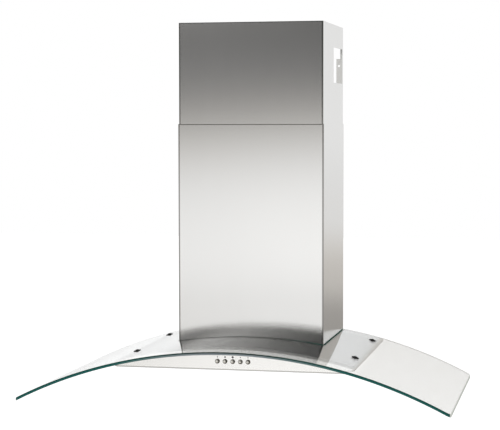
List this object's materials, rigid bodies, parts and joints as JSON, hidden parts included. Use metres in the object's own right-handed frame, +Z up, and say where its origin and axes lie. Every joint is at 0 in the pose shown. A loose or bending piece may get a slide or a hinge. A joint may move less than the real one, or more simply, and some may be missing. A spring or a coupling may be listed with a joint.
{
  "type": "wall mount range hood",
  "caption": "Wall mount chimney range hood with a curved glass canopy, a slim steel body with push buttons, tilting grease filters and a telescopic chimney.",
  "frame": {"origin": "on the wall plane, on the centre line, level with the lower edge of the body", "axes": "+X to the viewer's right, +Y into the wall, +Z up; the front faces -Y"},
  "size_m": [0.9, 0.5, 0.7894],
  "materials": {
    "brushed_steel": "brushed along its length",
    "canopy_glass": "clear tempered glass with polished edges",
    "black_plastic": "fine matt",
    "stud_steel": "turned",
    "washer_silicone": "clear, smooth",
    "filter_aluminium": "anodised satin",
    "latch_plastic": "fine matt",
    "lamp_chrome": "polished",
    "lamp_glass": "frosted",
    "can_aluminium": "spun",
    "holder_ceramic": "unglazed",
    "button_metal": "satin chromed",
    "indicator_red": "clear dark red",
    "galvanised_steel": "galvanised with a faint spangle",
    "zinc_screws": "zinc plated",
    "fan_plastic": "moulded",
    "damper_plastic": "moulded",
    "motor_enamel": "dark enamel",
    "loom_sleeve": "braided sleeve"
  },
  "bodies": {
    "hood": {"body_shell": "brushed_steel", "bottom_panel": "brushed_steel", "box_screws": "zinc_screws", "cable_gland": "black_plastic", "capacitor": "can_aluminium", "chimney_clips": "galvanised_steel", "collar_screws": "zinc_screws", "damper_pin": "stud_steel", "front_fascia": "brushed_steel", "glass_canopy": "canopy_glass", "glass_caps": "black_plastic", "glass_studs": "stud_steel", "glass_washers": "washer_silicone", "indicator_lens": "indicator_red", "lamp_bezel_left": "lamp_chrome", "lamp_bezel_right": "lamp_chrome", "lamp_bulb_left": "lamp_glass", "lamp_bulb_right": "lamp_glass", "lamp_can_left": "can_aluminium", "lamp_can_right": "can_aluminium", "lamp_holder_left": "holder_ceramic", "lamp_holder_right": "holder_ceramic", "lamp_lens_left": "lamp_glass", "lamp_lens_right": "lamp_glass", "lower_chimney": "brushed_steel", "motor": "motor_enamel", "motor_box": "galvanised_steel", "motor_bracket": "galvanised_steel", "mounting_plate": "galvanised_steel", "outlet_collar": "galvanised_steel", "scroll_housing": "galvanised_steel", "switch_block": "black_plastic", "terminal_box": "black_plastic", "terminal_lid": "black_plastic", "wire_loom": "loom_sleeve"},
    "upper_section": {"upper_chimney": "brushed_steel", "upper_bracket": "galvanised_steel"},
    "fan": {"impeller": "fan_plastic", "motor_shaft": "stud_steel"},
    "flap_front": {"damper_flap_front": "damper_plastic"},
    "flap_rear": {"damper_flap_rear": "damper_plastic"},
    "filter_left": {"filter_frame_left": "filter_aluminium", "filter_mesh_left": "filter_aluminium", "filter_core_left": "filter_aluminium"},
    "latch_left": {"filter_latch_left": "latch_plastic"},
    "filter_right": {"filter_frame_right": "filter_aluminium", "filter_mesh_right": "filter_aluminium", "filter_core_right": "filter_aluminium"},
    "latch_right": {"filter_latch_right": "latch_plastic"},
    "button_1": {"push_button_1": "button_metal"},
    "button_2": {"push_button_2": "button_metal"},
    "button_3": {"push_button_3": "button_metal"},
    "button_4": {"push_button_4": "button_metal"},
    "button_5": {"push_button_5": "button_metal"}
  },
  "joints": [
    {"name": "upper_section_slide", "type": "slide", "parent": "hood", "child": "upper_section", "axis": [0, 0, 1], "range_m": [-0.17, 0.11]},
    {"name": "fan_spin", "type": "hinge", "parent": "hood", "child": "fan", "pos_m": [0, -0.114, 0.15], "axis": [1, 0, 0], "continuous": true},
    {"name": "flap_front_swing", "type": "hinge", "parent": "hood", "child": "flap_front", "pos_m": [0, -0.161, 0.315], "axis": [-1, 0, 0], "range_deg": [0, 70]},
    {"name": "flap_rear_swing", "type": "hinge", "parent": "hood", "child": "flap_rear", "pos_m": [0, -0.161, 0.315], "axis": [1, 0, 0], "range_deg": [0, 70]},
    {"name": "filter_left_tilt", "type": "hinge", "parent": "hood", "child": "filter_left", "pos_m": [0, -0.069, 0.004], "axis": [1, 0, 0], "range_deg": [0, 60]},
    {"name": "latch_left_slide", "type": "slide", "parent": "filter_left", "child": "latch_left", "axis": [0, 1, 0], "range_m": [0, 0.0065], "stiffness_N_per_m": 400, "springref_m": -0.003},
    {"name": "filter_right_tilt", "type": "hinge", "parent": "hood", "child": "filter_right", "pos_m": [0, -0.069, 0.004], "axis": [1, 0, 0], "range_deg": [0, 60]},
    {"name": "latch_right_slide", "type": "slide", "parent": "filter_right", "child": "latch_right", "axis": [0, 1, 0], "range_m": [0, 0.0065], "stiffness_N_per_m": 400, "springref_m": -0.003},
    {"name": "button_1_press", "type": "slide", "parent": "hood", "child": "button_1", "axis": [0, 1, 0], "range_m": [0, 0.003], "stiffness_N_per_m": 500, "springref_m": -0.002},
    {"name": "button_2_press", "type": "slide", "parent": "hood", "child": "button_2", "axis": [0, 1, 0], "range_m": [0, 0.003], "stiffness_N_per_m": 500, "springref_m": -0.002},
    {"name": "button_3_press", "type": "slide", "parent": "hood", "child": "button_3", "axis": [0, 1, 0], "range_m": [0, 0.003], "stiffness_N_per_m": 500, "springref_m": -0.002},
    {"name": "button_4_press", "type": "slide", "parent": "hood", "child": "button_4", "axis": [0, 1, 0], "range_m": [0, 0.003], "stiffness_N_per_m": 500, "springref_m": -0.002},
    {"name": "button_5_press", "type": "slide", "parent": "hood", "child": "button_5", "axis": [0, 1, 0], "range_m": [0, 0.003], "stiffness_N_per_m": 500, "springref_m": -0.002}
  ]
}
